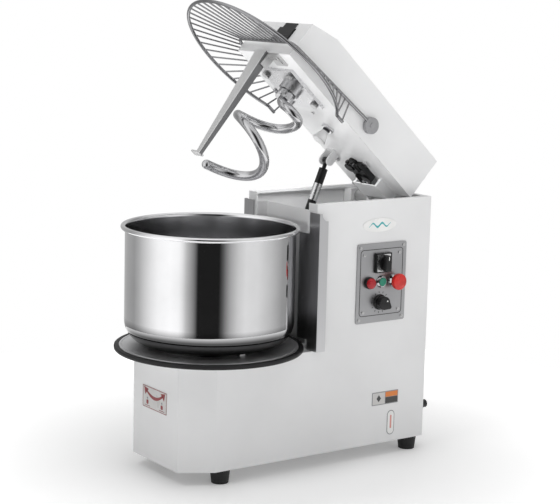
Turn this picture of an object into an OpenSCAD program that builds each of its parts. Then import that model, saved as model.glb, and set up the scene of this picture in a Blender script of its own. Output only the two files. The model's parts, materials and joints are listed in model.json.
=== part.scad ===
// Spiral dough mixer with a lifting head and a removable bowl.
// Millimetres. Z = 0 is the floor and X = 0 the middle. Parts are drawn with Y = 0 on the bowl's axis.
// The front faces -Y and the control panel faces +X. The head is drawn raised.

/* [Housing] */
// Width across the painted side walls
housing_w = 284; // [270:1:300]
// Distance from the bowl axis to the front of the base
base_front = 145; // [135:1:160]
// Distance from the bowl axis to the back of the column
housing_rear = 550; // [545:1:560]
// Height of the base's top deck above the floor
base_h = 288; // [286:1:289]
// Height of the column's side walls above the floor
column_h = 638; // [636:1:640]
// Distance from the bowl axis to the column's front corners
column_front = 203; // [203:1:205]
// Sheet thickness of the housing
sheet = 2.5; // [2:0.5:3]
// Free height under the base
foot_h = 33; // [28:1:40]

/* [Bowl] */
// Outer diameter of the bowl's wall
bowl_d = 400; // [380:1:400]
// Height of the bowl's rim above the floor
bowl_rim_z = 585; // [580:1:586]
// Wall thickness of the bowl
bowl_wall = 2; // [1.5:0.5:2.5]
// Corner radius between the bowl's wall and its bottom
bowl_corner_r = 52; // [40:1:60]
// Diameter of the turntable over its rubber rim
turntable_d = 448; // [440:1:448]

/* [Head] */
// Angle of the raised head
lift_angle = 43; // [35:1:43]
// Width of the head
head_w = 212; // [206:1:214]
// Height of the head's casing
head_h = 118; // [116:1:122]
// Distance from the bowl axis to the front of the head when it is lowered
head_front = 14; // [12:1:14]
// Distance from the bowl axis to the back of the head when it is lowered
head_rear = 502; // [498:1:502]
// Underside of the lowered head above the floor
head_z = 623; // [622:1:625]

/* [Tools] */
// Distance from the bowl axis to the spiral's axis
spiral_y = 106; // [104:1:108]
// Radius of the spiral's turns, to the middle of the bar
spiral_r = 62; // [58:1:66]
// Diameter of the spiral's bar
spiral_bar_d = 23; // [20:1:24]
// Height of the spiral's lower end in the lowered head
spiral_end_z = 347; // [342:1:360]
// Height of the breaker bar's lower end in the lowered head
breaker_end_z = 335; // [329:1:349]
// Left edge of the breaker bar's front flange at its lower end.
breaker_tip_x = 8; // [4:1:12]

/* [Guard] */
// Radius of the guard's ring, to the middle of the wire
ring_r = 213; // [211:1:214]
// Height of the guard's ring above the floor when everything is lowered
ring_z = 600; // [598:1:602]
// Diameter of the ring's and the frame's wire
frame_wire_d = 8; // [6:1:9]
// Gap left at the ends of the guard's bars, where their welds are.
bar_gap = 1.2; // [0.5:0.1:1.5]
// Diameter of the guard's bars
bar_wire_d = 4; // [3:0.5:5]
// Number of bars on each half of the guard
guard_bars = 20; // [12:1:24]

/* [Controls] */
// Length of the control panel along Y
panel_l = 150; // [146:1:154]
// Height of the control panel
panel_h = 194; // [190:1:200]
// Centre of the control panel along Y
panel_y = 399; // [396:1:402]
// Centre of the control panel above the floor
panel_z = 437; // [434:1:440]

/* [Hidden] */
$fn = 48;
half_w = housing_w / 2;
inner_w = half_w - sheet;

// The head's pivot and the height at which the head swings clear.
pivot_y = 520;
pivot_z = 612;
hinge_shaft_r = 15;

// Front corners of the base are cut off flat.
corner_x = 42;
corner_y = 76;
corner_l = sqrt(corner_x * corner_x + corner_y * corner_y);

// Recess in the column's front for the turntable.
recess_w = 216;
recess_y = 232;
front_panel_h = 614;
top_rail_w = 14;
top_rail_h = 7;

// Corner strips.
strip_y = 199.5;
strip_in = 118;
strip_out = 157;
strip_top = 617;
strip_t = 3.5;
wing_in = 78;
wing_low = 312;
wing_top = 566;

// Bowl and turntable.
bowl_r = bowl_d / 2;
turntable_r = turntable_d / 2;
turntable_top = 300;
turntable_t = 4;
bowl_floor_z = 307;
bowl_bead_r = 5.5;
bowl_foot_r = 135;
lug_n = 3;

// Drive of the turntable: the belt's plane along X, pulley radii and shaft places.
belt_x = 68;
belt_w = 10;
belt_t = 6;
motor_y = 420;
motor_z = 172;
motor_r = 62;
motor_pulley_r = 26;
worm_y = 48;
worm_z = 175;
base_pulley_r = 46;
shaft_r = 10;
output_r = 18;
wheel_r = 34;
fit = 0.05;

// Head.
head_half = head_w / 2;
head_top = head_z + head_h;
head_sheet = 2;
slope_y = 64;
slope_drop = 24;
plate_t = 3;
flange_t = 8;
flange_w = 130;
flange_bolt = 49;
spiral_shaft_r = 16;
head_worm_x = 48;
head_worm_z = head_z + 58;
head_motor_r = 50;
hub_r = 22;
clamp_top = head_z - flange_t - 16;
clamp_h = 18;
clamp_z = clamp_top - clamp_h;
arm_x = 38;
arm_t = 8;

// Spiral: turns through this angle while it comes down.
spiral_start_a = 124;
spiral_turn = 605;
spiral_start_z = clamp_z - spiral_bar_d / 2 - 0.1;
spiral_steps = 78;
spiral_sides = 16;

// Gas strut, between the column's front panel and the head.
strut_x = -76;
strut_low_y = 262;
strut_low_z = 400;
strut_top_y = 357;
strut_top_z = 595;
strut_r = 11;
strut_rod_r = 5;
strut_body_l = 176;
strut_cap_l = 22;
strut_end = lowered_to_raised([strut_top_y, strut_top_z]);
strut_l = norm(strut_end - [strut_low_y, strut_low_z]);
strut_a = atan2(strut_end[0] - strut_low_y, strut_end[1] - strut_low_z);

// Guard.
guard_y = 4;
guard_pivot_y = 277;
guard_pivot_z = head_z + 39;
guard_rail_x = head_half + 10;
guard_front_y = -30;
guard_front_z = head_z + 22;
guard_end_x = 139;
guard_end_y = 190;
guard_bow_r = 24;
disc_r = 20;

// Controls.
wall_x = half_w;
gland_x = 127;
gland_z = 110;
panel_t = 3;
switch_y = panel_y + 1;
switch_z = panel_z + 49;
row_z = panel_z + 2;
stop_y = panel_y - 38;
start_y = panel_y;
estop_y = panel_y + 38;
timer_y = panel_y - 3;
timer_z = panel_z - 48;

// A point [y, z] of the lowered head, where it is once the head is raised.
function lowered_to_raised(p) = [
    pivot_y + (p[0] - pivot_y) * cos(lift_angle) + (p[1] - pivot_z) * sin(lift_angle),
    pivot_z - (p[0] - pivot_y) * sin(lift_angle) + (p[1] - pivot_z) * cos(lift_angle)
];

// The middle of the depth, from the turntable's front edge to the raised head's rear corner.
middle_y = (lowered_to_raised([head_rear, head_top])[0] - turntable_r) / 2;

// Corners of the base's footprint, moved inwards by t.
function right_outline(t) = [
    [half_w - t, housing_rear - t],
    [half_w - t, -base_front + corner_y + t * (corner_l - corner_y) / corner_x],
    [half_w - corner_x - t * (corner_l - corner_x) / corner_y, -base_front + t]
];
function outline(t) = let (right = right_outline(t))
    concat(right, [for (i = [2:-1:0]) [-right[i][0], right[i][1]]]);

// Places what belongs to the head, which is drawn lowered.
module raise() {
    translate([0, pivot_y, pivot_z])
        rotate([-lift_angle, 0, 0])
            translate([0, -pivot_y, -pivot_z])
                children();
}

// Moves the whole machine so that Y = 0 is the middle of its depth.
module place() {
    translate([0, -middle_y, 0])
        children();
}

module x_cylinder(r, x0, x1, y, z) {
    translate([x0, y, z])
        rotate([0, 90, 0])
            cylinder(r = r, h = x1 - x0);
}

module y_cylinder(r, x, y0, y1, z) {
    translate([x, y0, z])
        rotate([-90, 0, 0])
            cylinder(r = r, h = y1 - y0);
}

module z_cylinder(r, x, y, z0, z1) {
    translate([x, y, z0])
        cylinder(r = r, h = z1 - z0);
}

module box(low, high) {
    translate(low)
        cube(high - low);
}

// A rounded rectangle in the plane of the side wall: y is across and z is up.
module side_plate(y, z, l, h, r, x0, x1) {
    translate([x0, y, z])
        rotate([90, 0, 90])
            linear_extrude(x1 - x0) {
                square([l - 2 * r, h], center = true);
                square([l, h - 2 * r], center = true);
                for (sy = [-1, 1], sz = [-1, 1])
                    translate([sy * (l / 2 - r), sz * (h / 2 - r)])
                        circle(r = r);
            }
}

// A hexagon screw head or nut with its axis along Z.
module hex_head(across, h) {
    cylinder(r = across / 2 / cos(30), h = h, $fn = 6);
}

// ---- Housing ----

module housing() {
    panel_hole = [120, 160];
    color("white")
        difference() {
            union() {
                translate([0, 0, foot_h])
                    linear_extrude(base_h - foot_h)
                        polygon(outline(0));
                box([-half_w, column_front, base_h - 1], [half_w, housing_rear, column_h]);
            }
            translate([0, 0, foot_h - 1])
                linear_extrude(base_h - foot_h - sheet + 1)
                    polygon(outline(sheet));
            box([-inner_w, column_front + sheet, base_h - sheet - 1],
                [inner_w, housing_rear - sheet, column_h - top_rail_h]);
            // Open top between the folded rails.
            box([-half_w + top_rail_w, column_front + sheet, column_h - top_rail_h - 1],
                [half_w - top_rail_w, housing_rear - top_rail_w, column_h + 1]);
            // Open front of the recess.
            box([-recess_w / 2, column_front - 1, base_h],
                [recess_w / 2, column_front + sheet + 1, column_h + 1]);
            // Service opening at the back.
            box([-100, housing_rear - sheet - 1, 80], [100, housing_rear + 1, 560]);
            // Opening behind the control panel.
            box([inner_w - 1, panel_y - panel_hole[0] / 2, panel_z - panel_hole[1] / 2],
                [half_w + 1, panel_y + panel_hole[0] / 2, panel_z + panel_hole[1] / 2]);
            z_cylinder(30, 0, 0, base_h - sheet - 1, base_h + 1);
            y_cylinder(8, gland_x, housing_rear - sheet - 1, housing_rear + 1, gland_z);
        }
}

module column_front_panel() {
    outer = recess_w / 2;
    color("white")
        difference() {
            box([-outer, column_front, base_h], [outer, recess_y + sheet, front_panel_h]);
            box([-outer + sheet, column_front - 1, base_h - 1], [outer - sheet, recess_y, front_panel_h + 1]);
        }
}

module rear_cover() {
    slot_n = 9;
    color("white")
        difference() {
            box([-112, housing_rear, 66], [112, housing_rear + 2, 574]);
            for (bank = [130, 430], i = [0:slot_n - 1])
                box([-70, housing_rear - 1, bank + i * 12], [70, housing_rear + 3, bank + i * 12 + 5]);
        }
}

module base_plate() {
    color("silver")
        translate([0, 0, foot_h])
            linear_extrude(2)
                polygon(outline(sheet + 0.3));
}

module corner_strip(side) {
    color("silver")
        mirror([side < 0 ? 1 : 0, 0, 0]) {
            // Front face and its outer flange, rounded at the top.
            difference() {
                box([strip_in, strip_y, base_h], [strip_out, column_front + 22, strip_top]);
                box([strip_in - 1, column_front, base_h - 1],
                    [strip_out - strip_t, column_front + 23, strip_top + 1]);
                translate([strip_out - strip_t - 1, column_front + 22, strip_top])
                    rotate([0, 90, 0])
                        cylinder(r = 18, h = strip_t + 2);
            }
            // Inner wing beside the bowl.
            box([wing_in, strip_y, wing_low], [strip_in + 1, column_front, wing_top]);
        }
}

module feet() {
    color([0.1, 0.1, 0.1])
        for (x = [-118, 118], y = [-40, 520])
            translate([x, y, 0]) {
                cylinder(r1 = 20, r2 = 21, h = 3);
                translate([0, 0, 3])
                    cylinder(r1 = 21, r2 = 24, h = foot_h - 3);
            }
}

module side_screw(y, z, x) {
    translate([x, y, z])
        rotate([0, 90, 0])
            difference() {
                cylinder(r = 3.6, h = 1.8);
                translate([0, 0, 1])
                    hex_head(3, 1.5);
            }
}

module cover_screws() {
    color("silver") {
        for (sy = [-1, 1], sz = [-1, 1]) {
            side_screw(panel_y + sy * (panel_l / 2 - 9), panel_z + sz * (panel_h / 2 - 9), wall_x + panel_t);
            side_screw(panel_y + sy * 54, panel_z + sz * 70, wall_x + panel_t);
        }
        for (x = [-106, 106], z = [72, 320, 568])
            translate([x, housing_rear + 2, z])
                rotate([-90, 0, 0])
                    cylinder(r = 4, h = 2);
    }
}

// ---- Control panel ----

module control_panel() {
    x0 = wall_x;
    x1 = wall_x + panel_t;
    color("gray")
        difference() {
            side_plate(panel_y, panel_z, panel_l, panel_h, 5, x0, x1);
            for (y = [stop_y, start_y, estop_y])
                x_cylinder(11, x0 - 1, x1 + 1, y, row_z);
            x_cylinder(5, x0 - 1, x1 + 1, switch_y, switch_z);
            x_cylinder(5, x0 - 1, x1 + 1, timer_y, timer_z);
        }
}

module switch_plate() {
    color([0.15, 0.15, 0.15])
        difference() {
            side_plate(switch_y, switch_z, 48, 48, 2, wall_x + panel_t, wall_x + panel_t + 7);
            x_cylinder(5, wall_x + panel_t - 1, wall_x + panel_t + 8, switch_y, switch_z);
        }
}

module button_bezels() {
    bezel_x = wall_x + panel_t;
    color("silver")
        for (y = [stop_y, start_y])
            difference() {
                union() {
                    x_cylinder(14.5, bezel_x, bezel_x + 3, y, row_z);
                    x_cylinder(13, bezel_x + 3, bezel_x + 5, y, row_z);
                    x_cylinder(10.8, bezel_x - 14, bezel_x, y, row_z);
                }
                x_cylinder(10, bezel_x - 6, bezel_x + 6, y, row_z);
                x_cylinder(3.2, bezel_x - 15, bezel_x, y, row_z);
            }
}

module estop_collar() {
    collar_x = wall_x + panel_t;
    color([0.12, 0.12, 0.12])
        difference() {
            union() {
                x_cylinder(15, collar_x, collar_x + 8, estop_y, row_z);
                x_cylinder(10.8, collar_x - 14, collar_x, estop_y, row_z);
            }
            x_cylinder(7, collar_x - 15, collar_x + 9, estop_y, row_z);
        }
}

module switch_knob() {
    knob_x = wall_x + panel_t + 7.3;
    color([0.08, 0.08, 0.08]) {
        x_cylinder(17, knob_x, knob_x + 5, switch_y, switch_z);
        // Finger bar across the knob.
        side_plate(switch_y, switch_z, 13, 42, 6, knob_x + 4, knob_x + 20);
        x_cylinder(4.9, wall_x - 8, knob_x + 1, switch_y, switch_z);
    }
}

module push_button(y, r, out, tint) {
    cap_x = wall_x + panel_t;
    color(tint) {
        x_cylinder(r, cap_x - 1, cap_x + out, y, row_z);
        x_cylinder(3, cap_x - 20, cap_x, y, row_z);
    }
}

module stop_button() {
    push_button(stop_y, 9.9, 9, "darkred");
    color("darkred")
        x_cylinder(14, wall_x + panel_t + 9, wall_x + panel_t + 16, stop_y, row_z);
}

module start_button() {
    push_button(start_y, 9.9, 7, "green");
}

module estop_button() {
    head_x = wall_x + panel_t + 13;
    color("red") {
        x_cylinder(6.9, wall_x - 15, head_x + 1, estop_y, row_z);
        translate([head_x, estop_y, row_z])
            rotate([0, 90, 0])
                rotate_extrude()
                    polygon(concat([[0, 0], [18, 0], [20, 2], [20, 8]],
                        [for (a = [15:15:90]) [20 * cos(a), 8 + 9 * sin(a)]]));
    }
}

module timer_knob() {
    knob_x = wall_x + panel_t + 0.5;
    color([0.08, 0.08, 0.08]) {
        x_cylinder(20, knob_x, knob_x + 6, timer_y, timer_z);
        x_cylinder(15, knob_x + 5, knob_x + 22, timer_y, timer_z);
        // Pointer.
        translate([0, timer_y, timer_z])
            rotate([-20, 0, 0])
                box([knob_x + 5, 0, -4], [knob_x + 20, 19, 4]);
        x_cylinder(4.9, wall_x - 8, knob_x + 1, timer_y, timer_z);
    }
}

module cable_gland() {
    color([0.1, 0.1, 0.1])
        difference() {
            union() {
                y_cylinder(7.8, gland_x, housing_rear - 10, housing_rear + 1, gland_z);
                translate([gland_x, housing_rear, gland_z])
                    rotate([-90, 0, 0])
                        hex_head(24, 6);
                y_cylinder(10, gland_x, housing_rear + 5, housing_rear + 18, gland_z);
            }
            y_cylinder(5, gland_x, housing_rear - 11, housing_rear + 19, gland_z);
        }
}

// ---- Drive of the turntable ----

module base_motor() {
    color("gray")
        difference() {
            union() {
                x_cylinder(motor_r, -90, 50, motor_y, motor_z);
                for (x = [-70, 12])
                    box([x, motor_y - 46, foot_h + 2], [x + 26, motor_y + 46, motor_z - 30]);
                box([-45, motor_y - 34, motor_z + 50], [15, motor_y + 34, motor_z + 84]);
            }
            x_cylinder(shaft_r + fit, -80, 51, motor_y, motor_z);
        }
}

module motor_shaft() {
    color("silver")
        x_cylinder(shaft_r, -78, 78, motor_y, motor_z);
}

module pulley(r, y, z) {
    color([0.3, 0.3, 0.3])
        difference() {
            x_cylinder(r, belt_x - 8, belt_x + 8, y, z);
            x_cylinder(shaft_r, belt_x - 9, belt_x + 9, y, z);
        }
}

module motor_pulley() {
    pulley(motor_pulley_r, motor_y, motor_z);
}

module base_pulley() {
    pulley(base_pulley_r, worm_y, worm_z);
}

module base_worm() {
    color("silver") {
        x_cylinder(shaft_r, -50, 78, worm_y, worm_z);
        x_cylinder(13, -30, 30, worm_y, worm_z);
    }
}

// The belt's outline, t outside the two pulleys, as short flat steps round each.
function belt_outline(t) = let (
    span = [motor_y - worm_y, motor_z - worm_z],
    along = atan2(span[1], span[0]),
    wrap = acos((base_pulley_r - motor_pulley_r) / norm(span)),
    steps = 24)
    concat(
        [for (i = [0:steps]) let (a = along + wrap + (360 - 2 * wrap) * i / steps)
            [worm_y, worm_z] + (base_pulley_r + t) * [cos(a), sin(a)]],
        [for (i = [0:steps]) let (a = along - wrap + 2 * wrap * i / steps)
            [motor_y, motor_z] + (motor_pulley_r + t) * [cos(a), sin(a)]]);

module drive_belt() {
    color([0.1, 0.1, 0.1])
        translate([belt_x - belt_w / 2, 0, 0])
            rotate([90, 0, 90])
                linear_extrude(belt_w)
                    difference() {
                        polygon(belt_outline(1 + belt_t));
                        polygon(belt_outline(1));
                    }
}

module base_gearbox() {
    color("gray")
        difference() {
            union() {
                box([-62, -52, 118], [56, 84, 236]);
                for (x = [-62, 36])
                    box([x, -40, foot_h + 2], [x + 20, 72, 119]);
            }
            box([-40, -38, 150], [40, 64, 200]);
            z_cylinder(output_r + fit, 0, 0, 130, 237);
            x_cylinder(shaft_r + fit, -52, 57, worm_y, worm_z);
        }
}

module turntable_bearing() {
    color("silver")
        difference() {
            union() {
                z_cylinder(30, 0, 0, 236, base_h);
                z_cylinder(60, 0, 0, base_h, base_h + 5);
            }
            z_cylinder(output_r + fit, 0, 0, 235, base_h + 6);
        }
}

module turntable_shaft() {
    color("silver") {
        z_cylinder(output_r, 0, 0, 132, turntable_top - turntable_t);
        z_cylinder(wheel_r, 0, 0, worm_z - 16, worm_z + 16);
        z_cylinder(28, 0, 0, base_h + 5.5, turntable_top - turntable_t);
    }
}

// ---- Turntable and bowl ----

module turntable() {
    plate_r = turntable_r - 12;
    skirt_z = turntable_top - 10;
    color("silver")
        difference() {
            z_cylinder(plate_r, 0, 0, skirt_z, turntable_top);
            z_cylinder(plate_r - 6, 0, 0, skirt_z - 1, turntable_top - turntable_t);
            // Shallow groove beside the rim.
            difference() {
                z_cylinder(plate_r - 5, 0, 0, turntable_top - 1, turntable_top + 1);
                z_cylinder(plate_r - 7, 0, 0, turntable_top - 2, turntable_top + 2);
            }
        }
}

module turntable_rim() {
    color([0.08, 0.08, 0.08])
        difference() {
            z_cylinder(turntable_r, 0, 0, turntable_top - 10, turntable_top);
            z_cylinder(turntable_r - 12, 0, 0, turntable_top - 11, turntable_top + 1);
        }
}

module drive_lugs() {
    color("silver")
        for (i = [0:lug_n - 1])
            rotate([0, 0, i * 360 / lug_n])
                box([bowl_foot_r - 17, -7, turntable_top], [bowl_foot_r + 7, 7, turntable_top + 6]);
}

module bowl() {
    outer = bowl_corner_r;
    bend_x = bowl_r - outer;
    bend_z = bowl_floor_z + outer;
    bead_z = bowl_rim_z - bowl_bead_r;
    color("silver")
        rotate_extrude() {
            translate([0, bowl_floor_z])
                square([bend_x, bowl_wall]);
            translate([bowl_r - bowl_wall, bend_z])
                square([bowl_wall, bead_z - bend_z]);
            intersection() {
                difference() {
                    translate([bend_x, bend_z])
                        circle(r = outer);
                    translate([bend_x, bend_z])
                        circle(r = outer - bowl_wall);
                }
                translate([bend_x, bowl_floor_z])
                    square([outer, outer]);
            }
            translate([bowl_r + bowl_bead_r - 0.8, bead_z])
                circle(r = bowl_bead_r);
        }
}

module bowl_foot() {
    color("silver")
        difference() {
            z_cylinder(bowl_foot_r, 0, 0, turntable_top, bowl_floor_z);
            z_cylinder(bowl_foot_r - 10, 0, 0, turntable_top - 1, bowl_floor_z + 1);
            for (i = [0:lug_n - 1])
                rotate([0, 0, i * 360 / lug_n])
                    box([bowl_foot_r - 20, -8, turntable_top - 1], [bowl_foot_r + 10, 8, bowl_floor_z + 1]);
        }
}

// ---- Column: rest, hinge and gas strut ----

module rest_pad() {
    color("silver")
        difference() {
            box([-30, recess_y + sheet, 552], [30, recess_y + 46, 581.5]);
            box([-26, recess_y + sheet - 1, 551], [26, recess_y + 42, 577]);
        }
}

module hinge_bearings() {
    color("white")
        for (s = [-1, 1])
            mirror([s < 0 ? 1 : 0, 0, 0])
                difference() {
                    box([head_half + 2, pivot_y - 24, pivot_z - 52], [inner_w, pivot_y + 24, pivot_z + 18]);
                    x_cylinder(hinge_shaft_r, head_half, inner_w + 1, pivot_y, pivot_z);
                }
}

module hinge_shaft() {
    color([0.15, 0.15, 0.15])
        x_cylinder(hinge_shaft_r, -inner_w, inner_w, pivot_y, pivot_z);
}

module strut_lower_bracket() {
    color("silver") {
        for (x = [strut_x - 11, strut_x + 8]) {
            box([x, recess_y + sheet, strut_low_z - 12], [x + 3, strut_low_y, strut_low_z + 12]);
            x_cylinder(12, x, x + 3, strut_low_y, strut_low_z);
        }
        box([strut_x - 24, recess_y + sheet, strut_low_z - 26],
            [strut_x + 24, recess_y + sheet + 3, strut_low_z + 26]);
        x_cylinder(4, strut_x - 13, strut_x + 13, strut_low_y, strut_low_z);
    }
}

// Draws its children along +Z from the strut's lower pivot towards the upper one.
module along_strut() {
    translate([strut_x, strut_low_y, strut_low_z])
        rotate([-strut_a, 0, 0])
            children();
}

module strut_eye(bore) {
    difference() {
        x_cylinder(9, -6, 6, 0, 0);
        x_cylinder(bore, -7, 7, 0, 0);
    }
}

module strut_rod() {
    rod_top = strut_l - strut_cap_l - strut_body_l + 22;
    color("silver")
        along_strut() {
            strut_eye(4 + fit);
            z_cylinder(strut_rod_r, 0, 0, 8, rod_top);
        }
}

module strut_cylinder() {
    body_top = strut_l - strut_cap_l;
    body_low = body_top - strut_body_l;
    color([0.1, 0.1, 0.1])
        along_strut() {
            difference() {
                z_cylinder(strut_r, 0, 0, body_low, body_top);
                z_cylinder(strut_rod_r + fit, 0, 0, body_low - 1, body_top - 14);
            }
            z_cylinder(5, 0, 0, body_top - 1, strut_l - 8);
            translate([0, 0, strut_l])
                strut_eye(5);
        }
}

// ---- Head ----

module head_casing() {
    profile = [[-head_front, head_z], [-head_front, head_top - slope_drop], [slope_y, head_top],
        [head_rear, head_top], [head_rear, head_z]];
    inside = [[-head_front + head_sheet, head_z - 1],
        [-head_front + head_sheet, head_top - slope_drop - 1.4],
        [slope_y + 0.3, head_top - head_sheet], [head_rear - head_sheet, head_top - head_sheet],
        [head_rear - head_sheet, head_z - 1]];
    color("white")
        raise()
            difference() {
                translate([-head_half, 0, 0])
                    rotate([90, 0, 90])
                        linear_extrude(head_w)
                            polygon(profile);
                translate([-head_half + head_sheet, 0, 0])
                    rotate([90, 0, 90])
                        linear_extrude(head_w - 2 * head_sheet)
                            polygon(inside);
                x_cylinder(5 + fit, -head_half - 1, head_half + 1, guard_pivot_y, guard_pivot_z);
            }
}

module head_base_plate() {
    side = head_half - head_sheet;
    color("white")
        raise()
            difference() {
                box([-side, -head_front + head_sheet, head_z],
                    [side, head_rear - head_sheet, head_z + plate_t]);
                z_cylinder(24, 0, spiral_y, head_z - 1, head_z + plate_t + 1);
            }
}

module hinge_arms() {
    end = arm_x + arm_t;
    color("white")
        raise()
            difference() {
                union() {
                    for (x = [-end, arm_x]) {
                        box([x, pivot_y - 80, pivot_z - 14], [x + arm_t, pivot_y - 18, head_z]);
                        box([x, pivot_y - 80, pivot_z - 14], [x + arm_t, pivot_y, head_z - 0.5]);
                        x_cylinder(23, x, x + arm_t, pivot_y, pivot_z);
                    }
                    // The web that joins the two arms.
                    box([-arm_x - 1, pivot_y - 80, pivot_z - 14], [arm_x + 1, pivot_y - 30, pivot_z - 11]);
                }
                x_cylinder(hinge_shaft_r + fit, -end - 1, end + 1, pivot_y, pivot_z);
                // Clear of the head's rear lip.
                box([-end - 1, pivot_y - 40, head_z], [end + 1, pivot_y - 17.5, head_z + 30]);
            }
}

module head_gearbox() {
    low = head_z + plate_t;
    color("gray")
        raise()
            difference() {
                box([-62, spiral_y - 66, low], [72, spiral_y + 66, low + 104]);
                box([-40, spiral_y - 40, head_worm_z - 21], [64, spiral_y + 40, head_worm_z + 21]);
                z_cylinder(spiral_shaft_r + fit, 0, spiral_y, low - 1, low + 92);
                y_cylinder(shaft_r + fit, head_worm_x, spiral_y - 56, spiral_y + 67, head_worm_z);
            }
}

module head_motor() {
    start = spiral_y + 66;
    color("gray")
        raise()
            difference() {
                y_cylinder(head_motor_r, head_worm_x, start, start + 160, head_worm_z);
                y_cylinder(shaft_r + fit, head_worm_x, start - 1, start + 60, head_worm_z);
            }
}

module head_worm() {
    color("silver")
        raise() {
            y_cylinder(shaft_r, head_worm_x, spiral_y - 54, spiral_y + 120, head_worm_z);
            y_cylinder(13, head_worm_x, spiral_y - 34, spiral_y + 34, head_worm_z);
        }
}

module bearing_flange() {
    color("silver")
        raise()
            difference() {
                union() {
                    box([-flange_w / 2, spiral_y - flange_w / 2, head_z - flange_t],
                        [flange_w / 2, spiral_y + flange_w / 2, head_z]);
                    z_cylinder(27, 0, spiral_y, head_z - flange_t - 14, head_z - flange_t);
                }
                z_cylinder(spiral_shaft_r + fit, 0, spiral_y, head_z - 40, head_z + 1);
            }
}

module head_bolts() {
    color("silver")
        raise() {
            for (sx = [-1, 1], sy = [-1, 1])
                translate([sx * flange_bolt, spiral_y + sy * flange_bolt, head_z - flange_t - 8])
                    hex_head(17, 8);
            for (p = [[-83, 382], [-90, 477], [38, 382], [14, 474]])
                translate([p[0], p[1], head_z - 7])
                    hex_head(15, 7);
            translate([-11, 202, head_z - 3])
                cylinder(r = 4, h = 3);
        }
}

module breaker_bar() {
    top = head_z;
    color("silver")
        raise() {
            // Flange facing the front, tapered towards its end.
            intersection() {
                translate([-20, 0, 0])
                    rotate([90, 0, 90])
                        linear_extrude(40)
                            polygon([[-23, top], [-19, top], [7, breaker_end_z], [3, breaker_end_z]]);
                translate([0, 30, 0])
                    rotate([90, 0, 0])
                        linear_extrude(60)
                            polygon([[-20, top + 1], [21, top + 1], [21, breaker_end_z - 1],
                                [breaker_tip_x, breaker_end_z - 1]]);
            }
            // Flange facing the panel's side.
            translate([16, 0, 0])
                rotate([90, 0, 90])
                    linear_extrude(4)
                        polygon([[-19, top], [-1, top], [14, breaker_end_z], [7, breaker_end_z]]);
            box([-16, 4, breaker_end_z - 4], [20, 20, breaker_end_z]);
        }
}

module breaker_bracket() {
    color("silver")
        raise()
            difference() {
                union() {
                    box([20, -14, head_z - 34], [24, 8, head_z]);
                    box([20, -14, head_z - 4], [62, 26, head_z]);
                }
                z_cylinder(3.5, 38, 4, head_z - 5, head_z + 1);
                box([50, -6, head_z - 5], [54, 18, head_z + 1]);
            }
}

module rest_foot() {
    color("gray")
        raise()
            translate([0, 255, 0]) {
                z_cylinder(14, 0, 0, head_z - 11, head_z);
                translate([0, 0, head_z - 41])
                    cylinder(r1 = 17, r2 = 7.5, h = 30);
            }
}

module head_switch() {
    color([0.1, 0.1, 0.1])
        raise()
            translate([0, 405, 0]) {
                box([-26, -24, head_z - 16], [26, 30, head_z]);
                z_cylinder(14, -12, -22, head_z - 23, head_z);
                z_cylinder(14, 12, 24, head_z - 20, head_z);
                y_cylinder(6, 14, -30, -10, head_z - 17);
                y_cylinder(6, -14, 10, 36, head_z - 17);
            }
}

module front_handle() {
    face = -head_front;
    color([0.15, 0.15, 0.15])
        raise()
            union() {
                box([-2, face - 5, head_z + 32], [58, face, head_z + 76]);
                box([4, face - 2, head_z + 76], [52, face, head_z + 92]);
                x_cylinder(2.4, 4, 52, face - 3, head_z + 52);
            }
}

module strut_upper_bracket() {
    color("white")
        raise() {
            for (x = [strut_x - 16, strut_x + 13]) {
                box([x, strut_top_y - 12, strut_top_z], [x + 3, strut_top_y + 12, head_z]);
                x_cylinder(12, x, x + 3, strut_top_y, strut_top_z);
            }
            box([strut_x - 16, strut_top_y - 12, head_z - 3], [strut_x + 16, strut_top_y + 12, head_z]);
        }
}

// ---- Spiral ----

module spiral_shaft() {
    color("silver")
        raise() {
            z_cylinder(spiral_shaft_r, 0, spiral_y, clamp_top - 12, head_worm_z + 34);
            z_cylinder(wheel_r, 0, spiral_y, head_worm_z - 16, head_worm_z + 16);
        }
}

module spiral_clamp() {
    color("silver")
        raise()
            difference() {
                union() {
                    z_cylinder(hub_r, 0, spiral_y, clamp_z, clamp_top);
                    y_cylinder(5, -19, spiral_y - 24, spiral_y + 24, clamp_top - 8);
                }
                z_cylinder(spiral_shaft_r, 0, spiral_y, clamp_top - 12, clamp_top + 1);
            }
}

// Rises from 0 to 1 with level ends.
function ease(u) = let (v = max(0, min(1, u))) v * v * (3 - 2 * v);
// 0 below -w, then curving into u above w.
function bend(u, w) = u < -w ? 0 : (u > w ? u : (u + w) * (u + w) / (4 * w));
// The bar's middle line: turns is the angle swept from the hub.
function spiral_level(turned) = spiral_start_z - (spiral_start_z - 556) * ease(turned / 70)
    - (556 - spiral_end_z) / (spiral_turn - 97) * bend(turned - 97, 25);
function spiral_reach(turned) = 10 + (spiral_r - 10) * ease(turned / 80);
function spiral_point(i) = let (turned = spiral_turn * i / spiral_steps, a = spiral_start_a - turned)
    [spiral_reach(turned) * sin(a), spiral_y + spiral_reach(turned) * cos(a), spiral_level(turned)];
function spiral_way(i) = spiral_point(min(i + 1, spiral_steps)) - spiral_point(max(i - 1, 0));
function spiral_out(i) = let (c = cross(spiral_way(i), [0, 0, 1])) c / norm(c);
function spiral_up(i) = let (c = cross(spiral_out(i), spiral_way(i))) c / norm(c);
// The bar's radius, rounded off at the free end.
function spiral_thick(i) = let (left = spiral_steps - i)
    spiral_bar_d / 2 * (left > 1 ? 1 : (left > 0 ? 0.93 : 0.62));

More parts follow.
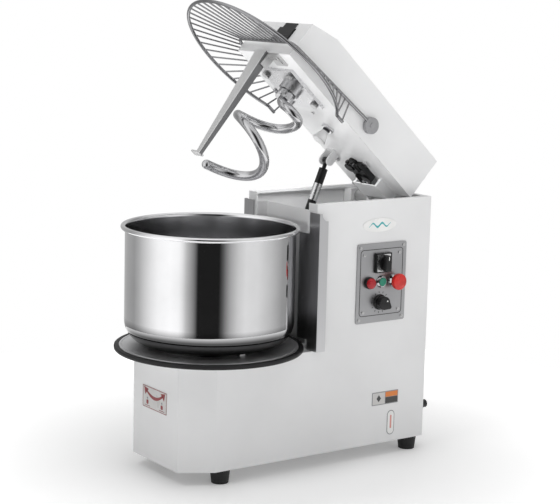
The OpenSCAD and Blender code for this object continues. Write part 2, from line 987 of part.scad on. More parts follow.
module spiral_hook() {
    rings = [for (i = [0:spiral_steps], k = [0:spiral_sides - 1])
        let (a = 360 * k / spiral_sides)
            spiral_point(i) + spiral_thick(i) * (cos(a) * spiral_out(i) + sin(a) * spiral_up(i))];
    walls = [for (i = [0:spiral_steps - 1], k = [0:spiral_sides - 1])
        let (n = (k + 1) % spiral_sides, low = i * spiral_sides, high = low + spiral_sides)
            [low + k, low + n, high + n, high + k]];
    first = [for (k = [spiral_sides - 1:-1:0]) k];
    last = [for (k = [0:spiral_sides - 1]) spiral_steps * spiral_sides + k];
    color("silver")
        raise()
            polyhedron(points = rings, faces = concat(walls, [first], [last]));
}

// ---- Bowl guard ----

// A straight wire between two points.
module wire(p, q, r) {
    span = q - p;
    translate(p)
        rotate([0, acos(span[2] / norm(span)), atan2(span[1], span[0])])
            cylinder(r = r, h = norm(span));
}

// One half of the inner frame, from the middle of the front to the pivot.
guard_path = [[0, guard_front_y, guard_front_z], [guard_rail_x - guard_bow_r, guard_front_y, guard_front_z],
    [guard_rail_x - 7, guard_front_y + 7, guard_front_z],
    [guard_rail_x, guard_front_y + guard_bow_r, guard_front_z],
    [guard_rail_x, guard_pivot_y - disc_r - 0.3, guard_pivot_z]];
guard_run = [for (i = [0:3]) norm(guard_path[i + 1] - guard_path[i])];
function run_before(i) = i <= 0 ? 0 : guard_run[i - 1] + run_before(i - 1);
// The point a given way along the inner frame.
function frame_point(way, i = 0) = i >= 3 || way <= guard_run[i]
    ? guard_path[i] + (guard_path[i + 1] - guard_path[i]) * way / guard_run[i]
    : frame_point(way - guard_run[i], i + 1);
ring_turn = 90 + acos(guard_end_x / ring_r);
ring_back = guard_y + sqrt(ring_r * ring_r - guard_end_x * guard_end_x);
ring_run = ring_r * ring_turn * PI / 180;
function ring_point(way) = way < ring_run
    ? [ring_r * sin(180 / PI * way / ring_r), guard_y - ring_r * cos(180 / PI * way / ring_r), ring_z]
    : [guard_end_x, ring_back + way - ring_run, ring_z];

module bead(p) {
    translate(p)
        sphere(r = frame_wire_d / 2 + 0.4);
}

module both_sides() {
    children();
    mirror([1, 0, 0])
        children();
}

module guard_ring() {
    color("silver")
        raise() {
            difference() {
                translate([0, guard_y, ring_z])
                    rotate_extrude()
                        translate([ring_r, 0])
                            circle(r = frame_wire_d / 2);
                box([-ring_r - 5, ring_back, ring_z - 9], [ring_r + 5, ring_r + 20, ring_z + 9]);
            }
            both_sides() {
                wire([guard_end_x, ring_back, ring_z], [guard_end_x, guard_end_y, ring_z], frame_wire_d / 2);
                bead([guard_end_x, ring_back, ring_z]);
            }
        }
}

module guard_frame() {
    bow_x = guard_rail_x - guard_bow_r;
    bow_y = guard_front_y + guard_bow_r;
    color("silver")
        raise() {
            x_cylinder(frame_wire_d / 2, -bow_x, bow_x, guard_front_y, guard_front_z);
            both_sides() {
                intersection() {
                    translate([bow_x, bow_y, guard_front_z])
                        rotate_extrude()
                            translate([guard_bow_r, 0])
                                circle(r = frame_wire_d / 2);
                    box([bow_x, guard_front_y - 9, guard_front_z - 9],
                        [guard_rail_x + 9, bow_y, guard_front_z + 9]);
                }
                wire(guard_path[3] + [0, 0.5, 0], guard_path[4], frame_wire_d / 2);
            }
        }
}

// How far a bar stops from the middle of the wire it is welded to, given the bar's and wire's directions.
function bar_stop(along, way) = let (c = abs(along * way / norm(way)))
    (frame_wire_d / 2 + bar_gap + bar_wire_d / 2 * c) / sqrt(1 - c * c);

module guard_bar(k) {
    full_frame = run_before(3) + guard_end_y - guard_path[3][1] - 3;
    full_ring = ring_run + guard_end_y - ring_back - 3;
    f = full_frame * k / guard_bars;
    g = full_ring * k / guard_bars;
    p = frame_point(f);
    q = ring_point(g);
    along = (q - p) / norm(q - p);
    stop_p = bar_stop(along, frame_point(f + 1) - frame_point(f - 1));
    stop_q = bar_stop(along, ring_point(g + 1) - ring_point(g - 1));
    wire(p + along * stop_p, q - along * stop_q, bar_wire_d / 2);
}

module guard_wires() {
    color("silver")
        raise() {
            guard_bar(0);
            both_sides()
                for (k = [1:guard_bars])
                    guard_bar(k);
        }
}

module guard_pivots() {
    color([0.4, 0.4, 0.4])
        raise()
            for (s = [-1, 1])
                mirror([s < 0 ? 1 : 0, 0, 0]) {
                    x_cylinder(disc_r, head_half + 1, head_half + 12, guard_pivot_y, guard_pivot_z);
                    x_cylinder(5, head_half - 6, head_half + 2, guard_pivot_y, guard_pivot_z);
                    x_cylinder(6, head_half + 11, head_half + 14, guard_pivot_y, guard_pivot_z);
                }
}

// ---- Labels ----

module labels() {
    color("white") {
        translate([-3, -base_front, 183])
            rotate([90, 0, 0])
                linear_extrude(0.8) {
                    square([108, 45], center = true);
                    square([100, 53], center = true);
                    for (sx = [-1, 1], sy = [-1, 1])
                        translate([sx * 50, sy * 22.5])
                            circle(r = 4);
                }
        side_plate(426, 146, 82, 33, 3, wall_x, wall_x + 0.8);
        side_plate(446, 81, 23, 62, 11, wall_x, wall_x + 0.8);
        side_plate(390, 578, 102, 33, 16, wall_x, wall_x + 1.5);
    }
}

place() housing();
place() column_front_panel();
place() rear_cover();
place() base_plate();
place() corner_strip(1);  // corner_strip_right
place() corner_strip(-1);  // corner_strip_left
place() feet();
place() cover_screws();
place() control_panel();
place() switch_plate();
place() button_bezels();
place() estop_collar();
place() cable_gland();
place() base_motor();
place() base_gearbox();
place() turntable_bearing();
place() rest_pad();
place() strut_lower_bracket();
place() hinge_bearings();
place() hinge_shaft();
place() drive_belt();
place() labels();
place() turntable();
place() turntable_rim();
place() turntable_shaft();
place() drive_lugs();
place() bowl();
place() bowl_foot();
place() base_worm();
place() base_pulley();
place() motor_shaft();
place() motor_pulley();
place() head_casing();
place() head_base_plate();
place() hinge_arms();
place() head_gearbox();
place() head_motor();
place() bearing_flange();
place() head_bolts();
place() breaker_bar();
place() breaker_bracket();
place() rest_foot();
place() head_switch();
place() front_handle();
place() strut_upper_bracket();
place() spiral_shaft();
place() spiral_hook();
place() spiral_clamp();
place() head_worm();
place() strut_rod();
place() strut_cylinder();
place() guard_ring();
place() guard_frame();
place() guard_wires();
place() guard_pivots();
place() switch_knob();
place() stop_button();
place() start_button();
place() estop_button();
place() timer_knob();
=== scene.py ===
"""Looks of the spiral dough mixer: camera, light, materials and finely made pieces on the CAD frame."""
import json
import math

import bmesh
import bpy
from mathutils import Matrix, Vector

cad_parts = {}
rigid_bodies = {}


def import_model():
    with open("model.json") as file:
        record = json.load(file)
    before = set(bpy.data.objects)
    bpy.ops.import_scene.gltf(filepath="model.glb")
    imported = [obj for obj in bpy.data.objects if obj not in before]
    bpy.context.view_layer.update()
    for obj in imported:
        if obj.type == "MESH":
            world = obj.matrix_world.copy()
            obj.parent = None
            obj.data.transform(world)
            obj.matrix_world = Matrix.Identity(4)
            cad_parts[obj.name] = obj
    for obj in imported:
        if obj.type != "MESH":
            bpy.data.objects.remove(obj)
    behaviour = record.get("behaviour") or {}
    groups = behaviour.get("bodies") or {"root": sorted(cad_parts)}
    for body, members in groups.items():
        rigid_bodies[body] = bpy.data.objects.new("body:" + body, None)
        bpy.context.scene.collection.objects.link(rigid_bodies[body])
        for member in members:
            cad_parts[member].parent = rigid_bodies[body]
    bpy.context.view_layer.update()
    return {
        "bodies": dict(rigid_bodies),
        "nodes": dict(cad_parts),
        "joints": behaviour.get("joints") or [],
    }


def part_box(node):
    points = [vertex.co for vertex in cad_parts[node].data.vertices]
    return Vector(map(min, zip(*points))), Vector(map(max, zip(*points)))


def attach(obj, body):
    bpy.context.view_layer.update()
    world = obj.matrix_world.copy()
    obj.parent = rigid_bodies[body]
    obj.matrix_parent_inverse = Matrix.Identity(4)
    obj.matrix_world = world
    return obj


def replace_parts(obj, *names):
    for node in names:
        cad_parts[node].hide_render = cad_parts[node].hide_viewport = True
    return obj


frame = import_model()
MM = 0.001

# ---- Where things are: the bowl's axis, and the head's pivot and lift ----
bowl_lo, bowl_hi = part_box("bowl")
AXIS_Y = (bowl_lo.y + bowl_hi.y) / 2
joints = {j["name"]: j for j in frame["joints"]}
tilt = joints["head_tilt"]
PIVOT = Vector(tilt["pos_m"])
LIFT = math.radians(-tilt["range_deg"][0])
RAISE = Matrix.Translation(PIVOT) @ Matrix.Rotation(-LIFT, 4, "X") @ Matrix.Translation(-PIVOT)


def P(x, y, z):
    """Millimetres from the floor under the bowl's axis, as a point of the row frame."""
    return Vector((x * MM, AXIS_Y + y * MM, z * MM))


# ---- Camera ----
# Angles in degrees and the eye in mm. The focal length and the frame's width share one unit.
CAMERA_AZIMUTH, CAMERA_PITCH, CAMERA_ROLL = 54.4918, 9.5209, 1.4313
CAMERA_EYE = (3139.7, -2040.6, 1151.8)
FOCAL_LENGTH, FRAME_WIDTH, SENSOR_WIDTH = 1621.77, 560.0, 36.0
CLIP_END = 60.0


def make_camera():
    az, pitch, roll = math.radians(CAMERA_AZIMUTH), math.radians(CAMERA_PITCH), math.radians(CAMERA_ROLL)
    fwd = Vector((-math.sin(az) * math.cos(pitch), math.cos(az) * math.cos(pitch), -math.sin(pitch)))
    right = fwd.cross(Vector((0, 0, 1))).normalized()
    up = right.cross(fwd)
    cam_x = right * math.cos(roll) + up * math.sin(roll)
    cam_y = up * math.cos(roll) - right * math.sin(roll)
    data = bpy.data.cameras.new("camera")
    data.sensor_width = SENSOR_WIDTH
    data.lens = FOCAL_LENGTH * SENSOR_WIDTH / FRAME_WIDTH
    data.clip_end = CLIP_END
    cam = bpy.data.objects.new("camera", data)
    bpy.context.scene.collection.objects.link(cam)
    rot = Matrix((cam_x, cam_y, -fwd)).transposed().to_4x4()
    cam.matrix_world = Matrix.Translation(P(*CAMERA_EYE)) @ rot
    bpy.context.scene.camera = cam


make_camera()


# ---- Mesh helpers ----
def mesh_object(name, verts, faces, body, mat, smooth=30.0, lifted=False):
    """A piece from millimetre vertices, riding on a body."""
    mesh = bpy.data.meshes.new(name)
    pts = [P(*v) for v in verts]
    if lifted:
        pts = [RAISE @ p for p in pts]
    mesh.from_pydata([tuple(p) for p in pts], [], faces)
    mesh.validate()
    bm = bmesh.new()
    bm.from_mesh(mesh)
    bmesh.ops.recalc_face_normals(bm, faces=bm.faces)
    bm.to_mesh(mesh)
    bm.free()
    return finish_object(name, mesh, body, mat, smooth)


def finish_object(name, mesh, body, mat, smooth):
    if smooth:
        mesh.shade_smooth()
        mesh.set_sharp_from_angle(angle=math.radians(smooth))
    obj = bpy.data.objects.new(name, mesh)
    bpy.context.scene.collection.objects.link(obj)
    if mat:
        mesh.materials.append(mat)
    if body:
        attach(obj, body)
    return obj


def spun(profile, n=96, closed=True):
    """Vertices and faces of a profile [(radius, height)] turned about Z."""
    verts, rows = [], []
    for r, h in profile:
        if r < 1e-6:
            rows.append([len(verts)] * n)
            verts.append((0.0, 0.0, h))
        else:
            rows.append(list(range(len(verts), len(verts) + n)))
            verts += [(r * math.cos(2 * math.pi * k / n), r * math.sin(2 * math.pi * k / n),
                       h) for k in range(n)]
    faces = []
    pairs = list(zip(rows, rows[1:] + ([rows[0]] if closed else [])))
    for a, b in pairs:
        for k in range(n):
            j = (k + 1) % n
            loop = []
            for v in (a[k], a[j], b[j], b[k]):
                if v not in loop:
                    loop.append(v)
            if len(loop) > 2:
                faces.append(loop)
    return verts, faces


def turned(name, profile, at, axis, body, mat, n=96, closed=True, smooth=30.0, lifted=False):
    """A lathe piece: at is its base point in mm, axis is "x", "-y" or "z"."""
    verts, faces = spun(profile, n, closed)
    turn = {
        "z": lambda a, b, h: (a, b, h),
        "x": lambda a, b, h: (h, a, b),
        "y": lambda a, b, h: (b, h, a),
        "-y": lambda a, b, h: (a, -h, b),
    }[axis]
    out = []
    for v in verts:
        p = turn(*v)
        out.append((p[0] + at[0], p[1] + at[1], p[2] + at[2]))
    return mesh_object(name, out, faces, body, mat, smooth, lifted)


def arc(cx, cy, r, a0, a1, n):
    """Points of an arc, angles in degrees."""
    return [(cx + r * math.cos(math.radians(a0 + (a1 - a0) * i / n)),
             cy + r * math.sin(math.radians(a0 + (a1 - a0) * i / n))) for i in range(n + 1)]


def tube(name, pts, r, body, mat, sides=16, lifted=False, ends=True, radii=None):
    """A round bar swept along points in mm, with no twist."""
    pts = [Vector(p) for p in pts]
    n = len(pts)
    verts, faces = [], []
    ref = None
    for i, p in enumerate(pts):
        way = (pts[min(i + 1, n - 1)] - pts[max(i - 1, 0)]).normalized()
        if ref is None:
            ref = way.orthogonal().normalized()
        ref = (ref - way * ref.dot(way)).normalized()
        side = way.cross(ref)
        q = r if radii is None else radii[i]
        for k in range(sides):
            a = 2 * math.pi * k / sides
            verts.append(tuple(p + ref * (q * math.cos(a)) + side * (q * math.sin(a))))
    for i in range(n - 1):
        for k in range(sides):
            j = (k + 1) % sides
            faces.append([i * sides + k, i * sides + j, (i + 1) * sides + j, (i + 1) * sides + k])
    if ends:
        faces.append(list(range(sides))[::-1])
        faces.append([(n - 1) * sides + k for k in range(sides)])
    return mesh_object(name, verts, faces, body, mat, 40.0, lifted)


def sleeve(name, start, end, outer, inner, body, mat, n=48):
    # Hollow sleeve between two points, open through the middle for a rod that slides inside it.
    way = (end - start).normalized()
    side = way.cross(Vector((1, 0, 0))).normalized()
    other = way.cross(side)
    verts = []
    for centre, r in ((start, outer), (end, outer), (end, inner), (start, inner)):
        for k in range(n):
            a = 2 * math.pi * k / n
            verts.append(tuple(centre + (side * math.cos(a) + other * math.sin(a)) * r))
    faces = []
    for ring in range(4):
        for k in range(n):
            m = (k + 1) % n
            faces.append((ring * n + k, ring * n + m, (ring + 1) % 4 * n + m, (ring + 1) % 4 * n + k))
    return mesh_object(name, verts, faces, body, mat)


def slab(name, outline, lo, hi, axis, body, mat, bevel=0.0, lifted=False, segments=3, smooth=30.0):
    """A plate: outline [(a, b)] in mm, extruded along axis from lo to hi, with its edges rounded.
    axis "x": (a, b) is (y, z); "y": (x, z); "z": (x, y)."""
    turn = {"x": lambda a, b, h: (h, a, b), "y": lambda a, b, h: (a, h, b), "z": lambda a, b, h: (a, b,
        h)}[axis]
    n = len(outline)
    pts = [P(*turn(a, b, h)) for h in (lo, hi) for a, b in outline]
    if lifted:
        pts = [RAISE @ p for p in pts]
    bm = bmesh.new()
    vs = [bm.verts.new(p) for p in pts]
    bm.faces.new(vs[:n])
    bm.faces.new(vs[n:])
    for i in range(n):
        j = (i + 1) % n
        bm.faces.new((vs[i], vs[j], vs[n + j], vs[n + i]))
    bmesh.ops.recalc_face_normals(bm, faces=bm.faces)
    if bevel:
        bm.edges.ensure_lookup_table()
        edges = [e for e in bm.edges if e.calc_face_angle(0) > math.radians(25)]
        bmesh.ops.bevel(bm, geom=edges, offset=bevel * MM, segments=segments, profile=0.5, affect="EDGES",
                        clamp_overlap=True)
    mesh = bpy.data.meshes.new(name)
    bm.to_mesh(mesh)
    bm.free()
    return finish_object(name, mesh, body, mat, smooth)


def rounded(w, h, r, cx=0.0, cy=0.0, n=6):
    """Outline of a rounded rectangle."""
    out = []
    for sx, sy, a in ((1, -1, -90), (1, 1, 0), (-1, 1, 90), (-1, -1, 180)):
        out += arc(cx + sx * (w / 2 - r), cy + sy * (h / 2 - r), r, a, a + 90, n)
    return out


def join(name, parts):
    """Joins pieces that ride on the same body into one."""
    bm = bmesh.new()
    mats = []
    for o in parts:
        for m in o.data.materials:
            if m not in mats:
                mats.append(m)
    mesh = bpy.data.meshes.new(name)
    for o in parts:
        index = [mats.index(m) for m in o.data.materials]
        start = len(bm.faces)
        bm.from_mesh(o.data)
        bm.faces.ensure_lookup_table()
        for f in bm.faces[start:]:
            f.material_index = index[f.material_index] if index else 0
    bm.to_mesh(mesh)
    bm.free()
    for m in mats:
        mesh.materials.append(m)
    body = parts[0].parent
    for o in parts:
        bpy.data.objects.remove(o)
    obj = bpy.data.objects.new(name, mesh)
    bpy.context.scene.collection.objects.link(obj)
    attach(obj, next(k for k, v in frame["bodies"].items() if v is body))
    return obj


# ---- Materials ----
class Nodes:
    """Short names for building a material's nodes."""

    def __init__(self, name):
        self.mat = bpy.data.materials.new(name)
        self.mat.use_nodes = True
        self.tree = self.mat.node_tree
        self.bsdf = self.tree.nodes["Principled BSDF"]
        self.coord = self.tree.nodes.new("ShaderNodeTexCoord")

    def new(self, kind, **values):
        node = self.tree.nodes.new(kind)
        for key, value in values.items():
            if key in node.inputs:
                node.inputs[key].default_value = value
            else:
                setattr(node, key, value)
        return node

    def link(self, a, b):
        self.tree.links.new(a, b)

    def scaled(self, scale):
        m = self.new("ShaderNodeMapping")
        m.inputs["Scale"].default_value = scale
        self.link(self.coord.outputs["Object"], m.inputs["Vector"])
        return m.outputs["Vector"]

    def noise(self, scale, detail=3.0, stretch=(1, 1, 1), rough=0.5):
        n = self.new("ShaderNodeTexNoise")
        n.inputs["Scale"].default_value = scale
        n.inputs["Detail"].default_value = detail
        n.inputs["Roughness"].default_value = rough
        self.link(self.scaled(stretch), n.inputs["Vector"])
        return n.outputs["Fac"]

    def ramp(self, value, stops):
        r = self.new("ShaderNodeValToRGB")
        e = r.color_ramp.elements
        while len(e) < len(stops):
            e.new(0.5)
        for item, (pos, col) in zip(e, stops):
            item.position = pos
            item.color = (*col, 1.0) if len(col) == 3 else col
        self.link(value, r.inputs["Fac"])
        return r.outputs["Color"]

    def span(self, value, lo, hi):
        m = self.new("ShaderNodeMapRange")
        m.inputs["From Min"].default_value = 0.3
        m.inputs["From Max"].default_value = 0.7
        m.inputs["To Min"].default_value = lo
        m.inputs["To Max"].default_value = hi
        self.link(value, m.inputs["Value"])
        return m.outputs["Result"]

    def bump(self, value, strength, distance=0.001, after=None):
        b = self.new("ShaderNodeBump")
        b.inputs["Strength"].default_value = strength
        b.inputs["Distance"].default_value = distance
        self.link(value, b.inputs["Height"])
        if after is not None:
            self.link(after, b.inputs["Normal"])
        self.link(b.outputs["Normal"], self.bsdf.inputs["Normal"])
        return b.outputs["Normal"]

    def colour(self, a, b, scale, detail=4.0, stretch=(1, 1, 1)):
        self.link(self.ramp(self.noise(scale, detail, stretch), [(0.35, a), (0.65, b)]),
                  self.bsdf.inputs["Base Color"])

    def rough(self, lo, hi, scale, stretch=(1, 1, 1), detail=4.0):
        self.link(self.span(self.noise(scale, detail, stretch), lo, hi), self.bsdf.inputs["Roughness"])


def shade(c, k):
    return tuple(min(1.0, v * k) for v in c)


def painted(name, colour, rough=(0.28, 0.4), coat=0.25):
    """Powder-coated sheet: fine orange peel, faint mottling and rubbed patches."""
    n = Nodes(name)
    n.colour(shade(colour, 0.965), shade(colour, 1.02), 5.0)
    n.rough(rough[0], rough[1], 9.0)
    first = n.bump(n.noise(420.0, 2.0), 0.10, 0.0006)
    n.bump(n.noise(38.0, 2.0), 0.05, 0.0008, first)
    n.bsdf.inputs["Coat Weight"].default_value = coat
    n.bsdf.inputs["Coat Roughness"].default_value = 0.18
    return n.mat


def steel(name, colour, rough, stretch, line_scale=60.0, bump=0.05, painted_shade_height=None):
    """Stainless steel, its polishing lines across the stretched direction, with painted shade that darkens
    it below a height in m.
    """
    n = Nodes(name)
    n.bsdf.inputs["Metallic"].default_value = 1.0
    tone = n.ramp(n.noise(7.0, 4.0), [(0.35, shade(colour, 0.95)), (0.65, shade(colour, 1.04))])
    # Painted shade: the base colour darkens below the given height, standing in for a dark reflection low
    # on the bowl.
    if painted_shade_height:
        split = n.new("ShaderNodeSeparateXYZ")
        n.link(n.coord.outputs["Object"], split.inputs[0])
        level = n.new("ShaderNodeMapRange")
        for key, value in (("From Min", painted_shade_height[0]), ("From Max", painted_shade_height[1]), ("To Min", 0.10), ("To Max",
            1.0)):
            level.inputs[key].default_value = value
        n.link(split.outputs["Z"], level.inputs["Value"])
        mix = n.new("ShaderNodeMix", data_type="RGBA", blend_type="MULTIPLY")
        mix.inputs[0].default_value = 1.0
        n.link(tone, mix.inputs[6])
        n.link(level.outputs["Result"], mix.inputs[7])
        tone = mix.outputs[2]
    n.link(tone, n.bsdf.inputs["Base Color"])
    n.rough(rough[0], rough[1], line_scale, stretch)
    n.bump(n.noise(line_scale * 1.7, 3.0, stretch), bump, 0.0004)
    return n.mat


def moulded(name, colour, rough=(0.4, 0.55), grain=900.0, strength=0.12, metallic=0.0, vary=0.15, spec=0.5):
    """Moulded plastic or rubber with a fine grain and dull patches."""
    n = Nodes(name)
    n.bsdf.inputs["Metallic"].default_value = metallic
    n.bsdf.inputs["Specular IOR Level"].default_value = spec
    n.colour(shade(colour, 1 - vary), shade(colour, 1 + vary), 30.0)
    n.rough(rough[0], rough[1], 24.0)
    n.bump(n.noise(grain, 2.0), strength, 0.0004)
    return n.mat


white = painted("white_paint", (0.80, 0.802, 0.806))
# The spun steel's last pair of heights is painted shade that darkens the bowl's lower bend.
mirror_steel = steel("spun_steel", (0.84, 0.84, 0.85), (0.03, 0.06), (1, 1, 60), 14.0, 0.006, (0.344, 0.37))
satin_steel = steel("satin_steel", (0.80, 0.80, 0.81), (0.10, 0.16), (1, 1, 60), 14.0, 0.006)
chrome = steel("chrome", (0.60, 0.60, 0.61), (0.11, 0.15), (1, 1, 1), 200.0, 0.003)
wire_steel = steel("guard_wire", (0.34, 0.34, 0.35), (0.12, 0.2), (1, 1, 1), 40.0, 0.01)
tool_steel = steel("tool_steel", (0.74, 0.74, 0.75), (0.14, 0.24), (1, 1, 1), 60.0, 0.05)
brushed = steel("brushed_panel", (0.42, 0.42, 0.43), (0.30, 0.42), (1, 60, 1), 16.0, 0.08)
plate_steel = steel("plate_steel", (0.72, 0.72, 0.73), (0.22, 0.34), (1, 1, 1), 22.0, 0.05)
turntable_steel = steel("turntable_steel", (0.80, 0.80, 0.81), (0.42, 0.52), (1, 1, 1), 22.0, 0.03)
zinc = steel("zinc_plate", (0.62, 0.62, 0.62), (0.25, 0.40), (1, 1, 1), 120.0, 0.08)


def flanged_steel(name, face, flange):
    """Brushed steel of a folded strip: the fold that faces sideways is painted lighter than the front face,
    as painted light and shade.
    """
    n = Nodes(name)
    n.bsdf.inputs["Metallic"].default_value = 1.0
    # Painted light: faces turned along X get the lighter flange colour, while the front face keeps the
    # darker painted-shade colour.
    split = n.new("ShaderNodeSeparateXYZ")
    n.link(n.coord.outputs["Normal"], split.inputs[0])
    side = n.new("ShaderNodeMath", operation="ABSOLUTE")
    n.link(split.outputs["X"], side.inputs[0])
    tone = n.ramp(n.noise(12.0, 3.0, (30, 30, 1)), [(0.3, shade(face, 0.93)), (0.7, shade(face, 1.07))])
    mix = n.new("ShaderNodeMix", data_type="RGBA")
    n.link(side.outputs[0], mix.inputs[0])
    n.link(tone, mix.inputs[6])
    mix.inputs[7].default_value = (*flange, 1)
    n.link(mix.outputs[2], n.bsdf.inputs["Base Color"])
    n.rough(0.28, 0.38, 12.0, (30, 30, 1))
    n.bump(n.noise(20.0, 3.0, (30, 30, 1)), 0.02, 0.0004)
    return n.mat


# The strip's front colour is painted shade and its fold colour is painted light.
strip_steel = flanged_steel("strip_steel", (0.42, 0.42, 0.43), (0.58, 0.58, 0.59))
rubber = moulded("black_rubber", (0.009, 0.009, 0.0095), (0.4, 0.58), 700.0, 0.2, spec=0.35)
black = moulded("black_plastic", (0.008, 0.008, 0.0085), (0.24, 0.38), spec=0.4)
dark_steel = moulded("dark_steel", (0.05, 0.05, 0.055), (0.3, 0.45), 500.0, 0.1, 0.6)
disc_grey = moulded("disc_plastic", (0.30, 0.30, 0.31), (0.35, 0.5), 60.0, 0.3)
red = moulded("red_plastic", (0.62, 0.025, 0.02), (0.22, 0.34), 900.0, 0.05)
dark_red = moulded("dark_red_plastic", (0.36, 0.008, 0.015), (0.18, 0.3), 900.0, 0.05)
green = moulded("green_plastic", (0.02, 0.25, 0.16), (0.2, 0.32), 900.0, 0.05)
motor_grey = painted("motor_paint", (0.16, 0.18, 0.2), (0.35, 0.5), 0.1)
cast = moulded("cast_iron", (0.12, 0.125, 0.13), (0.5, 0.7), 300.0, 0.35, 0.5)
label_white = moulded("label_white", (0.86, 0.86, 0.85), (0.25, 0.35), 300.0, 0.03, vary=0.03)
label_dark = moulded("label_dark", (0.05, 0.05, 0.05), (0.3, 0.4), 300.0, 0.03, vary=0.03)
label_red = moulded("label_red", (0.26, 0.008, 0.012), (0.3, 0.4), 300.0, 0.03, vary=0.03)
label_orange = moulded("label_orange", (0.75, 0.22, 0.04), (0.3, 0.4), 300.0, 0.03, vary=0.03)
label_grey = moulded("label_grey", (0.3, 0.3, 0.31), (0.3, 0.4), 300.0, 0.03, vary=0.03)
label_pale = moulded("label_pale", (0.62, 0.61, 0.6), (0.25, 0.35), 300.0, 0.03, vary=0.03)
label_rose = moulded("label_rose", (0.7, 0.3, 0.26), (0.3, 0.4), 300.0, 0.03, vary=0.03)
label_teal = moulded("label_teal", (0.06, 0.42, 0.44), (0.3, 0.4), 300.0, 0.03, vary=0.03)
# shade_steel is a painted shaded copy of light_steel for the breaker bar's side flange; light_steel is the
# painted highlight on its front flange and also colours the rest cone.
light_steel = steel("light_steel", (0.86, 0.86, 0.86), (0.38, 0.5), (30, 30, 1), 12.0, 0.03)
shade_steel = steel("shade_steel", (0.22, 0.22, 0.225), (0.3, 0.42), (30, 30, 1), 12.0, 0.03)
silver_band = steel("silver_band", (0.75, 0.75, 0.76), (0.2, 0.3), (1, 1, 1), 80.0, 0.03)

# Material of each CAD node, and the width of its softened edges in mm (0 leaves them sharp).
BEVEL_SEGMENTS, BEVEL_ANGLE = 2, 40
NODE_LOOKS = {
    "housing": (white, 1.6), "column_front_panel": (white, 1.2), "rear_cover": (white, 0.6),
    "base_plate": (zinc, 0), "corner_strip_right": (strip_steel, 0.7), "corner_strip_left": (strip_steel,
        0.7),
    "feet": (rubber, 0), "cover_screws": (zinc, 0), "control_panel": (brushed, 0.5),
    "switch_plate": (black, 0.5), "button_bezels": (chrome, 0.4), "estop_collar": (black, 0.4),
    "cable_gland": (black, 0.4), "base_motor": (motor_grey, 0.8), "base_gearbox": (cast, 1.0),
    "turntable_bearing": (zinc, 0), "rest_pad": (white, 0.5), "strut_lower_bracket": (white, 0.3),
    "hinge_bearings": (white, 1.2), "hinge_shaft": (zinc, 0.6), "drive_belt": (rubber, 0),
    "labels": (label_white, 0), "turntable": (turntable_steel, 0.4), "turntable_rim": (rubber, 1.5),
    "turntable_shaft": (zinc, 0), "drive_lugs": (zinc, 0.5), "bowl": (mirror_steel, 0),
    "bowl_foot": (mirror_steel, 0), "base_worm": (zinc, 0), "base_pulley": (cast, 0), "motor_shaft": (zinc,
        0),
    "motor_pulley": (cast, 0), "head_casing": (white, 1.6), "head_base_plate": (white, 0.4),
    "hinge_arms": (white, 0.6), "head_gearbox": (cast, 1.0), "head_motor": (motor_grey, 0.8),
    "bearing_flange": (plate_steel, 0.8), "head_bolts": (zinc, 0.5), "breaker_bar": (tool_steel, 0.6),
    "breaker_bracket": (zinc, 0.4), "rest_foot": (plate_steel, 0.5), "head_switch": (black, 1.2),
    "front_handle": (black, 0.8), "strut_upper_bracket": (white, 0.4), "spiral_shaft": (tool_steel, 0.5),
    "spiral_hook": (chrome, 0), "spiral_clamp": (chrome, 0.8), "head_worm": (zinc, 0),
    "strut_rod": (chrome, 0),
    "strut_cylinder": (black, 0.4), "guard_ring": (chrome, 0), "guard_frame": (chrome, 0),
    "guard_wires": (chrome, 0), "guard_pivots": (disc_grey, 0.8), "switch_knob": (black, 1.0),
    "stop_button": (dark_red, 0.8), "start_button": (green, 0.8), "estop_button": (red, 0),
    "timer_knob": (black, 1.0),
}

for node, (mat, bevel) in NODE_LOOKS.items():
    obj = frame["nodes"][node]
    for s in obj.material_slots:
        s.material = mat
    if not obj.material_slots:
        obj.data.materials.append(mat)
    if bevel:
        b = obj.modifiers.new("edges", "BEVEL")
        b.width = bevel * MM
        b.segments = BEVEL_SEGMENTS
        b.limit_method = "ANGLE"
        b.angle_limit = math.radians(BEVEL_ANGLE)
        b.use_clamp_overlap = True
        b.harden_normals = True


# ---- Bowl, turntable, feet ----
def make_bowl():
    wall, bend, floor_z, rim_z = 200.0, 52.0, 307.0, 585.0
    bead_r, bead_x = 5.5, 204.7
    bead_z = rim_z - bead_r
    outer = [(0, floor_z), (60, floor_z)] + arc(wall - bend, floor_z + bend, bend, -90, 0, 20) + [(wall,
        470)]
    bead = arc(bead_x, bead_z, bead_r, 211.3, 478, 26)
    inner = [(199.4, 582.4), (198.3, 580.2), (198, 576), (198, 470)] + \
        arc(wall - bend, floor_z + bend, bend - 2, 0, -90, 20) + [(60, floor_z + 2), (0, floor_z + 2)]
    sides = 192
    o = turned("bowl_shell", outer + bead + inner, (0, 0, 0), "z", "bowl", mirror_steel, sides, True, 40)
    o.data.materials.append(satin_steel)
    for face in o.data.polygons:
        x, y, z = face.center
        r = math.hypot(x, y - AXIS_Y) / MM
        outward = face.normal.x * x + face.normal.y * (y - AXIS_Y)
        if r < wall - 1.2 and z / MM > floor_z + 1 and outward < 0.02 * MM * r:
            face.material_index = 1
    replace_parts(o, "bowl")


